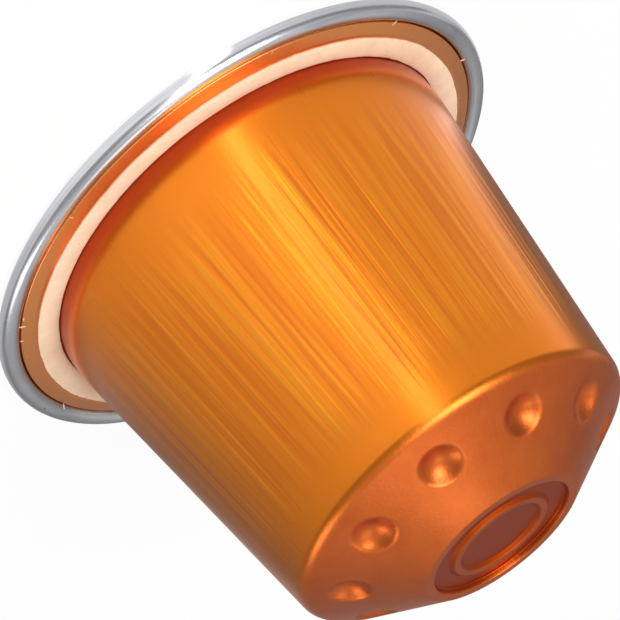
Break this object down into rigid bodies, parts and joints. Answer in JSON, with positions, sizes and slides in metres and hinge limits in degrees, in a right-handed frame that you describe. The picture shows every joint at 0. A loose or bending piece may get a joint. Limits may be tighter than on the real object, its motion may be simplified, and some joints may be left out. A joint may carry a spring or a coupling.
{
  "type": "coffee pod",
  "caption": "Single-serve coffee pod: a tapered, lacquered aluminium cup with a dimpled conical nose, a rolled rim, a sealing ring on the flange and a flat foil lid.",
  "frame": {"origin": "centre of the circle that the rolled rim stands on, at the pod's lowest level", "axes": "+Z along the pod's axis, from the foil lid up to the nose; +X through the centre of one dimple; +Y completes a right-handed set"},
  "size_m": [0.037, 0.037, 0.0282],
  "materials": {
    "lacquered_aluminium": "thin translucent orange lacquer over deep-drawn aluminium, bare and bright on the rolled rim",
    "sealing_compound": "matte cream",
    "foil": "satin foil"
  },
  "bodies": {
    "root": {"cup_body": "lacquered_aluminium", "sealing_ring": "sealing_compound", "foil_lid": "foil"}
  },
  "joints": []
}
